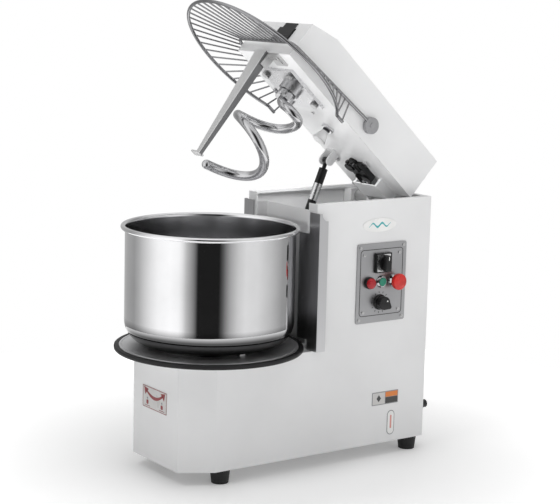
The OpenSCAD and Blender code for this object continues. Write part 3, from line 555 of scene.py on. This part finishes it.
def make_turntable():
    top = 300.0
    plate = [(0, top), (60, top), (204.6, top), (205.0, top - 1), (206.6, top - 1), (207, top),
             (211.8, top), (211.8, 290), (206, 290), (206, 296), (0, 296)]
    o = turned("turntable_plate", plate, (0, 0, 0), "z", "turntable", turntable_steel, 160, True, 30)
    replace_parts(o, "turntable")
    rim = [(212, 291), (212, 299)] + arc(213.5, 298.6, 1.4, 180, 90, 4) + arc(220.5, 296.5, 3.5, 90, 0,
        6) + \
        arc(220.5, 293.5, 3.5, 0, -90, 6) + [(213, 290)]
    o = turned("turntable_rubber", rim, (0, 0, 0), "z", "turntable", rubber, 160, True, 50)
    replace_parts(o, "turntable_rim")


def make_feet():
    parts = []
    for x in (-118, 118):
        for y in (-40, 520):
            prof = [(0, 0), (18, 0)] + arc(19, 1.4, 1.4, -80, 0, 4) + [(20.6, 4), (23.6, 30), (24, 32.9),
                (0, 32.9)]
            parts.append(turned("foot", prof, (x, y, 0), "z", "frame", rubber, 48, True, 40))
    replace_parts(join("rubber_feet", parts), "feet")


# ---- Spiral ----
def ease(u):
    u = max(0.0, min(1.0, u))
    return u * u * (3 - 2 * u)


def make_spiral():
    reach, start_a, turn, start_z, end_z, level_z = 62.0, 124.0, 605.0, 569.4, 347.0, 556.0
    pts = [(0, 106, 592), (0, 106, 584)]
    steps = 260
    # The bar starts to fall after this many degrees, and eases into the fall over `blend` on each side.
    fall_from, blend = 97, 25
    for i in range(steps + 1):
        t = turn * i / steps
        a = math.radians(start_a - t)
        r = reach * ease((t + 6) / 80)
        late = t - fall_from
        fall = 0 if late < -blend else (late if late > blend else (late + blend) ** 2 / (4 * blend))
        z = start_z + 8 * (1 - ease(t / 30)) - (start_z - level_z) * ease(t / 70)
        z -= (level_z - end_z) / (turn - fall_from) * fall
        pts.append((r * math.sin(a), 106 + r * math.cos(a), z))
    radii = [11.5] * (len(pts) - 4) + [11.2, 10.4, 8.6, 5.2]
    o = tube("spiral_bar", pts, 11.5, "spiral", chrome, 28, True, True, radii)
    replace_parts(o, "spiral_hook")


# ---- Guard ----
RING_R, RING_Y, RING_Z, END_X, END_Y = 213.0, 4.0, 600.0, 139.0, 190.0
BOW = 24.0


def inner_half():
    return [(0, -30, 645), (40, -30, 645)] + \
        [(92 + BOW * math.cos(math.radians(a)), -6 + BOW * math.sin(math.radians(a)),
          645) for a in range(-90, 1, 10)] + \
        [(116, 256.7, 662)]


def ring_half():
    last = math.degrees(math.acos(END_X / RING_R))
    out = []
    n = 60
    for i in range(n + 1):
        a = math.radians(-90 + (90 + last) * i / n)
        out.append((RING_R * math.cos(a), RING_Y + RING_R * math.sin(a), RING_Z))
    x, y, _ = out[-1]
    out[-1] = (x - 0.3, y + 1.5, RING_Z)
    out += [(END_X, y + 5, RING_Z), (END_X, END_Y - 1, RING_Z), (END_X, END_Y, RING_Z)]
    return out


def along(path, way):
    for a, b in zip(path, path[1:]):
        d = math.dist(a, b)
        if way <= d:
            return tuple(p + (q - p) * way / d for p, q in zip(a, b))
        way -= d
    return path[-1]


def mirrored(path):
    return [(-x, y, z) for x, y, z in path]


def make_guard():
    ring, inner = ring_half(), inner_half()
    hoop = mirrored(ring)[::-1] + ring[1:]
    o = tube("guard_hoop", hoop, 4.0, "guard", wire_steel, 18, True)
    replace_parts(o, "guard_ring")
    o = tube("guard_inner_frame", mirrored(inner)[::-1] + inner[1:], 4.0, "guard", wire_steel, 18, True)
    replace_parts(o, "guard_frame")
    n = 20
    full_in = sum(math.dist(a, b) for a, b in zip(inner[:-1], inner[1:-1])) + 193
    full_ring = sum(math.dist(a, b) for a, b in zip(ring, ring[1:])) - 3
    bars = []
    for k in range(n + 1):
        p, q = along(inner, full_in * k / n), along(ring, full_ring * k / n)
        for flip in ((1, -1) if k else (1,)):
            a = Vector((flip * p[0], p[1], p[2]))
            b = Vector((flip * q[0], q[1], q[2]))
            bars.append(tube("bar", [a, a.lerp(b, 0.5), b], 2.0, "guard", wire_steel, 12, True))
    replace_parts(join("guard_bars", bars), "guard_wires")


make_bowl()
make_turntable()
make_feet()
make_spiral()
make_guard()


# ---- Control panel ----
panel_lo, panel_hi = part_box("control_panel")
WALL_X, PANEL_X = panel_lo.x / MM, panel_hi.x / MM
FRONT_Y = (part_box("housing")[0].y - AXIS_Y) / MM
SWITCH, TIMER, ROW_Z = (400, 486), (396, 389), 439
STOP_Y, START_Y, ESTOP_Y = 361, 399, 437


def band(name, outer, inner, lo, hi, axis, body, mat):
    """A flat frame between two outlines with as many points each."""
    turn = {"x": lambda a, b, h: (h, a, b), "y": lambda a, b, h: (a, h, b)}[axis]
    n = len(outer)
    verts = [turn(a, b, h) for h in (lo, hi) for line in (outer, inner) for a, b in line]
    faces = []
    for i in range(n):
        j = (i + 1) % n
        faces += [(i, j, n + j, n + i), (2 * n + i, 2 * n + j, 3 * n + j, 3 * n + i),
                  (i, j, 2 * n + j, 2 * n + i), (n + i, n + j, 3 * n + j, 3 * n + i)]
    return mesh_object(name, verts, faces, body, mat, 30.0)


def make_panel_marks():
    mid_y, mid_z = 398.5, 438.5
    line = band("panel_outline", rounded(131, 163, 9, mid_y, mid_z), rounded(127.4, 159.4, 7.4, mid_y,
        mid_z),
                PANEL_X, PANEL_X + 0.3, "x", "frame", label_dark)
    parts = [line]
    for a in range(40, 321, 28):
        c, k = math.cos(math.radians(a)), math.sin(math.radians(a))
        outline = [(TIMER[0] + r * c - w * k, TIMER[1] + r * k + w * c)
                   for r, w in ((22.5, -0.9), (27, -0.9), (27, 0.9), (22.5, 0.9))]
        parts.append(slab("tick", outline, PANEL_X, PANEL_X + 0.3, "x", "frame", label_dark))
    join("panel_marks", parts)
    # Open in the middle, where the knob's shaft turns.
    band("switch_face", rounded(40, 42, 2.5, *SWITCH), rounded(11.2, 11.2, 5.5, *SWITCH), PANEL_X + 7,
         PANEL_X + 7.25,
         "x", "frame", silver_band)


def make_controls():
    x = PANEL_X + 7.3
    sw = [turned("a", [(0, x - 16), (4.8, x - 16), (4.8, x), (17.5, x), (18, x + 0.6), (18, x + 3.4), (17,
        x + 4.4),
                       (0, x + 4.4)], (0, *SWITCH), "x", "switch_knob", black, 64),
          slab("b", rounded(19, 41, 8, *SWITCH, 8), x + 3, x + 19.5, "x", "switch_knob", black, 3.0,
               segments=4),
          slab("c", rounded(2, 9, 0.9, SWITCH[0], SWITCH[1] + 13), x + 19, x + 19.7, "x", "switch_knob",
               label_white)]
    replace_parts(join("switch_handle", sw), "switch_knob")
    x = PANEL_X + 0.5
    tip = math.radians(-33)
    lobe = [(TIMER[0] + 16.5 * math.cos(math.radians(a)), TIMER[1] + 16.5 * math.sin(math.radians(a)))
            for a in range(5, 290, 15)]
    lobe += [(TIMER[0] + r * math.cos(tip + math.radians(d)),
              TIMER[1] + r * math.sin(tip + math.radians(d)))
             for r, d in ((21.5, -14), (24, -7), (24.4, 0), (24, 7), (21.5, 14))]
    tk = [turned("a", [(0, x - 9), (4.8, x - 9), (4.8, x), (18.6, x), (19.2, x + 0.8), (18.8, x + 3), (17,
        x + 5), (0, x + 5)],
                 (0, *TIMER), "x", "timer_knob", black, 64),
          slab("b", lobe, x + 4, x + 21.5, "x", "timer_knob", black, 2.2, segments=4),
          turned("c", [(0, x + 21), (1.9, x + 21), (1.9, x + 21.9), (0, x + 21.9)], (0, TIMER[0] + 7,
              TIMER[1] + 5), "x",
                 "timer_knob", label_white, 20)]
    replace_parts(join("timer_handle", tk), "timer_knob")
    x = PANEL_X
    cap = [(0, x + 16), (7, x + 15.7), (10.5, x + 14.7), (12.6, x + 12.6), (13, x + 10), (13, x + 5.3), (6,
        x + 5.3),
           (6, x - 12), (0, x - 12)]
    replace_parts(turned("stop_cap", cap, (0, STOP_Y, ROW_Z), "x", "stop_button", dark_red, 64),
                "stop_button")
    dark = [(11, x), (14.5, x), (14.8, x + 0.8), (14.8, x + 5.5), (13.9, x + 8), (13.1, x + 8.2), (13.1,
        x + 2), (11, x + 2)]
    bright = [(11, x), (15, x), (15.3, x + 0.6), (14.9, x + 2.4), (13, x + 4.6), (11.2, x + 5.4), (10.6,
        x + 5), (10.6, x + 1)]
    bz = [turned("a", dark, (0, STOP_Y, ROW_Z), "x", "frame", black, 64),
          turned("b", bright, (0, START_Y, ROW_Z), "x", "frame", chrome, 64)]
    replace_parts(join("button_rings", bz), "button_bezels")
    ring = [(7.4, x), (16, x), (16.6, x + 0.7), (16, x + 3), (14.6, x + 5.4), (13, x + 8), (11.8, x + 8),
            (11.8, x + 4.4), (7.4, x + 4.4)]
    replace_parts(turned("estop_ring", ring, (0, ESTOP_Y, ROW_Z), "x", "frame", chrome, 64), "estop_collar")
    neck = [(0, x + 8), (6.8, x + 8), (6.8, x + 9), (10.5, x + 9), (11.2, x + 13), (0, x + 13)]
    head = [(0, x + 12.8), (12.4, x + 12.8), (17.6, x + 14), (19.6, x + 16.2), (20, x + 18.6), (20,
        x + 23.4), (19.2, x + 26),
            (16.6, x + 27.6), (14.8, x + 27.7), (14, x + 28.3), (8, x + 29.4), (0, x + 29.8)]
    es = [turned("a", neck, (0, ESTOP_Y, ROW_Z), "x", "estop_button", black, 64),
          turned("b", head, (0, ESTOP_Y, ROW_Z), "x", "estop_button", red, 96)]
    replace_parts(join("estop_head", es), "estop_button")


# ---- Labels: plain blocks of colour, with no lettering ----
def make_labels():
    cx, cz = -3, 183
    f = FRONT_Y

    def ink(name, outline, mat, depth=0.9):
        return slab(name, [(cx + a, cz + b) for a, b in outline], f - depth, f, "y", "frame", mat)

    parts = [ink("a", rounded(108, 53, 3), label_pale, 0.6),
             band("b", rounded(106, 51, 2.4, cx, cz), rounded(103.4, 48.4, 1.6, cx, cz), f - 0.85, f - 0.5,
                  "y", "frame",
                  label_red)]
    low, high = [], []
    for i in range(25):
        u = -1 + i / 12
        mid, half = 2 + 13 * u * u, 4.2 - 1.2 * abs(u)
        low.append((36 * u, mid - half))
        high.append((36 * u, mid + half))
    parts.append(ink("c", low + high[::-1], label_red))
    for m in (-1, 1):
        tip = [(m * 47, 23), (m * 27, 19.5), (m * 42, 4.5)]
        parts.append(ink("d", tip, label_red))
        parts.append(ink("e", [(m * 32 + a, b - 12) for a, b in rounded(9, 10, 2.5)], label_red))
        parts.append(ink("f", [(m * 32 + a, b - 2.5) for a, b in rounded(6, 5, 2.4)], label_grey))
        parts.append(ink("g", [(m * 32 + a, b - 20.5) for a, b in rounded(24, 1.2, 0.5)], label_red))
    x = WALL_X

    def side(name, outline, mat, depth):
        return slab(name, outline, x, x + depth, "x", "frame", mat)

    parts += [side("h", rounded(82, 33, 1.5, 426, 146), label_grey, 0.5),
              side("i", rounded(38, 28.5, 0.8, 406.3, 146), label_pale, 0.7),
              side("j", rounded(38, 12.5, 0.8, 446, 154), label_orange, 0.7),
              side("k", rounded(38, 15, 0.8, 446, 139.2), label_dark, 0.7),
              side("l", [(406, 155), (413, 146), (406, 137), (399, 146)], label_dark, 0.8),
              side("m", rounded(23, 62, 11.4, 446, 81, 12), label_grey, 0.5),
              side("n", rounded(19, 58, 9.4, 446, 81, 12), label_white, 0.7),
              side("o", rounded(5, 34, 2.4, 446, 83), label_rose, 0.8)]
    oval = [(390 + 51 * math.cos(math.radians(a)),
             578 + 16.5 * math.sin(math.radians(a))) for a in range(0, 360, 5)]
    parts.append(slab("p", oval, x, x + 1.2, "x", "frame", label_white, 0.4))
    low, high = [], []
    for i in range(41):
        u = -1 + i / 20
        mid, half = 4.6 * math.sin(u * 7.4), 2.6 * math.cos(u * 1.45) + 0.2
        low.append((390 + 33 * u, 578 + mid - half))
        high.append((390 + 33 * u, 578 + mid + half))
    parts.append(slab("q", low + high[::-1], x + 1.1, x + 1.35, "x", "frame", label_teal))
    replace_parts(join("label_plates", parts), "labels")


# ---- Strut band, head fittings ----
def make_breaker():
    """An angle bar: its front flange carries a painted highlight in light steel, and its side flange
    painted shade in dark steel.
    """
    top, end = 623, 331
    side = [(-21, top), (-1, top), (14, end), (5, end)]
    wide = [(-20, -23, top), (20, -23, top), (20, 3, end), (8, 3, end)]
    verts = wide + [(x, y + 4, z) for x, y, z in wide]
    faces = [(0, 1, 2, 3), (4, 5, 6, 7), (0, 1, 5, 4), (1, 2, 6, 5), (2, 3, 7, 6), (3, 0, 4, 7)]
    parts = [mesh_object("a", verts, faces, "head", light_steel, 0, True),
             slab("b", side, 16.5, 20.4, "x", "head", shade_steel, 0.5, True),
             slab("c", rounded(36, 17, 3, 2, 11.5), end, end + 4, "z", "head", light_steel, 0.8, True)]
    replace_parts(join("breaker_angle", parts), "breaker_bar")


def make_rest_foot():
    top = 623
    prof = [(0, top), (16, top), (16.6, top - 1), (16.6, top - 5), (14.5, top - 7), (0, top - 7)]
    parts = [turned("a", prof, (0, 255, 0), "z", "head", plate_steel, 48, True, 30, True),
             turned("b", [(0, top - 6), (10, top - 6), (8, top - 13), (0, top - 13)], (0, 255, 0), "z",
                    "head", dark_steel,
                    40, True, 30, True),
             turned("c", [(0, top - 41), (15.6, top - 41), (17, top - 39.6), (16.6, top - 36), (9.2,
                 top - 13), (0, top - 11)],
                    (0, 255, 0), "z", "head", light_steel, 48, True, 30, True)]
    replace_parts(join("rest_cone", parts), "rest_foot")


def make_small_parts():
    top, low = Vector((-76, 357, 595)), Vector((-76, 262, 400))
    raised_top = RAISE @ P(*top)
    top = Vector((raised_top.x / MM, (raised_top.y - AXIS_Y) / MM, raised_top.z / MM))
    way = (low - top).normalized()
    sleeve("strut_band", top + way * 62, top + way * 106, 11.3, 10.6, "strut_cylinder", silver_band)
    bars = []
    for m in (-1, 1):
        for x in (-8, 8):
            y = 405 + (3 if m > 0 else -3)
            pts = [(x, y + m * 24, 606), (x, y + m * 38, 606)]
            bars.append(tube("pin", pts, 4.2, "head", chrome, 20, True))
            bars.append(tube("tip", [(x, y + m * 33, 606), (x, y + m * 40, 606)], 5.0, "head", black, 20,
                             True))
    join("switch_pins", bars)


make_panel_marks()
make_controls()
make_labels()
make_breaker()
make_rest_foot()
make_small_parts()


# ---- Floor, light ----
FLOOR_R, FLOOR_SIDES = 1.3, 96
# Floor glow is painted light: weak near the machine and strong at the floor's rim, which leaves the floor
# darker round the machine.
FLOOR_GLOW, FLOOR_EDGE_GLOW = 0.16, 0.72


def make_floor():
    mesh = bpy.data.meshes.new("floor")
    r, n_pts = FLOOR_R, FLOOR_SIDES
    rim = [(r * math.cos(2 * math.pi * k / n_pts), r * math.sin(2 * math.pi * k / n_pts),
            0) for k in range(n_pts)]
    mesh.from_pydata(rim, [], [tuple(range(n_pts))])
    obj = bpy.data.objects.new("floor", mesh)
    bpy.context.scene.collection.objects.link(obj)
    n = Nodes("floor")
    n.colour((0.92, 0.92, 0.92), (0.94, 0.94, 0.94), 2.0)
    n.rough(0.5, 0.6, 4.0)
    # Painted light: the floor's glow grows with distance from the middle.
    away = n.new("ShaderNodeVectorMath", operation="LENGTH")
    n.link(n.coord.outputs["Object"], away.inputs[0])
    glow = n.new("ShaderNodeMapRange")
    for key, value in (("From Min", 0.35), ("From Max", 1.15), ("To Min", FLOOR_GLOW), ("To Max",
        FLOOR_EDGE_GLOW)):
        glow.inputs[key].default_value = value
    n.link(away.outputs["Value"], glow.inputs["Value"])
    n.bsdf.inputs["Emission Color"].default_value = (1, 1, 1, 1)
    n.link(glow.outputs["Result"], n.bsdf.inputs["Emission Strength"])
    mesh.materials.append(n.mat)


def area(name, at, target, size, power, size_y=None):
    data = bpy.data.lights.new(name, "AREA")
    data.shape = "RECTANGLE"
    data.size = size
    data.size_y = size_y or size
    data.energy = power
    obj = bpy.data.objects.new(name, data)
    obj.location = at
    way = Vector(target) - Vector(at)
    obj.rotation_euler = way.to_track_quat("-Z", "Y").to_euler()
    bpy.context.scene.collection.objects.link(obj)
    obj.visible_glossy = False
    obj.visible_camera = False
    return obj


def link_fill(light, nodes, pieces):
    """Limits a light to some CAD nodes and some pieces."""
    group = bpy.data.collections.new(light.name + "_reach")
    for obj in [frame["nodes"][n] for n in nodes] + [bpy.data.objects[p] for p in pieces]:
        group.objects.link(obj)
    light.light_linking.receiver_collection = group


MATT_HIGH, MATT_FRONT, MATT_LOW = 0.46, 0.08, 1.5


def make_world():
    """White to the camera, soft grey to matt surfaces, dark and bright walls to shiny ones."""
    world = bpy.data.worlds.new("studio")
    bpy.context.scene.world = world
    world.use_nodes = True
    t = world.node_tree
    t.nodes.clear()

    def new(kind, **values):
        node = t.nodes.new(kind)
        for key, value in values.items():
            if key in node.inputs:
                node.inputs[key].default_value = value
            else:
                setattr(node, key, value)
        return node

    coord = new("ShaderNodeTexCoord")
    split = new("ShaderNodeSeparateXYZ")
    t.links.new(coord.outputs["Generated"], split.inputs[0])
    turn = new("ShaderNodeMath", operation="ARCTAN2")
    t.links.new(split.outputs["Y"], turn.inputs[0])
    t.links.new(split.outputs["X"], turn.inputs[1])
    unit = new("ShaderNodeMapRange")
    unit.inputs["From Min"].default_value = -math.pi
    unit.inputs["From Max"].default_value = math.pi
    t.links.new(turn.outputs[0], unit.inputs["Value"])
    ring = new("ShaderNodeValToRGB")
    # Azimuth in degrees (0 is +X, -90 is the front) and how bright the studio's wall is there.
    stops = [(-180, 0.40), (-155, 0.34), (-143, 0.46), (-131, 0.66), (-120, 0.84), (-106, 1.05), (-87,
        1.15),
             (-75, 1.08), (-70, 0.9), (-64, 0.55), (-54, 0.22), (-49, 0.012), (-21, 0.012), (-16, 0.10),
             (-6, 0.42),
             (5, 0.68), (16, 0.82), (34, 0.79), (55, 0.6), (81, 0.35), (106, 0.28), (130, 0.5), (160, 0.5),
             (180, 0.40)]
    e = ring.color_ramp.elements
    while len(e) < len(stops):
        e.new(0.5)
    for item, (deg, v) in zip(e, stops):
        item.position = (deg + 180) / 360
        item.color = (v, v, v, 1)
    t.links.new(unit.outputs["Result"], ring.inputs["Fac"])
    high = new("ShaderNodeMapRange")
    high.inputs["From Min"].default_value = 0.5
    high.inputs["From Max"].default_value = 0.8
    t.links.new(split.outputs["Z"], high.inputs["Value"])
    mix = new("ShaderNodeMix", data_type="RGBA")
    t.links.new(high.outputs["Result"], mix.inputs[0])
    t.links.new(ring.outputs["Color"], mix.inputs[6])
    mix.inputs[7].default_value = (0.9, 0.9, 0.9, 1)
    shiny = new("ShaderNodeBackground")
    t.links.new(mix.outputs[2], shiny.inputs["Color"])
    # Matt surfaces: bright below the horizon, as from a wide pale floor, and a little darker at the front.
    front = new("ShaderNodeMapRange")
    for key, value in (("From Min", -1.0), ("From Max", -0.2), ("To Min", MATT_FRONT), ("To Max",
        MATT_HIGH)):
        front.inputs[key].default_value = value
    t.links.new(split.outputs["Y"], front.inputs["Value"])
    level = new("ShaderNodeMapRange")
    for key, value in (("From Min", -0.05), ("From Max", 0.05), ("To Min", MATT_LOW)):
        level.inputs[key].default_value = value
    t.links.new(split.outputs["Z"], level.inputs["Value"])
    t.links.new(front.outputs["Result"], level.inputs["To Max"])
    matt = new("ShaderNodeBackground", Color=(1, 1, 1, 1))
    t.links.new(level.outputs["Result"], matt.inputs["Strength"])
    seen = new("ShaderNodeBackground", Color=(1, 1, 1, 1), Strength=1.0)
    path = new("ShaderNodeLightPath")
    first = new("ShaderNodeMixShader")
    t.links.new(path.outputs["Is Glossy Ray"], first.inputs[0])
    t.links.new(matt.outputs[0], first.inputs[1])
    t.links.new(shiny.outputs[0], first.inputs[2])
    second = new("ShaderNodeMixShader")
    t.links.new(path.outputs["Is Camera Ray"], second.inputs[0])
    t.links.new(first.outputs[0], second.inputs[1])
    t.links.new(seen.outputs[0], second.inputs[2])
    out = new("ShaderNodeOutputWorld")
    t.links.new(second.outputs[0], out.inputs[0])


make_floor()
make_world()
# Lamp powers in watts.
KEY_W, FILL_W, LOW_FILL_W, INNER_FILL_W, TOP_W = 5, 15, 36, 1.1, 24
area("key", (3.0, -0.6, 2.8), (0, 0, 0.6), 2.0, KEY_W)
area("fill", (0.35, -1.9, 2.9), (0, 0.1, 0.55), 0.9, FILL_W)
low_fill = area("low_fill", (0.9, -2.6, 0.35), (0, 0, 0.85), 1.2, LOW_FILL_W)
link_fill(low_fill, ["head_base_plate", "hinge_arms", "bearing_flange", "head_bolts", "breaker_bracket",
                     "strut_upper_bracket", "column_front_panel", "hinge_bearings", "strut_lower_bracket"],
          ["breaker_angle", "rest_cone"])
inner_fill = area("inner_fill", (-0.02, AXIS_Y + 0.29, 0.82), (-0.13, AXIS_Y + 0.42, 0.58), 0.16,
                  INNER_FILL_W)
link_fill(inner_fill, ["housing", "rear_cover", "hinge_arms", "hinge_bearings"], [])
area("top", (0.2, -0.2, 3.4), (0, 0, 0.3), 2.6, TOP_W)
bpy.context.scene.view_settings.view_transform = "Standard"
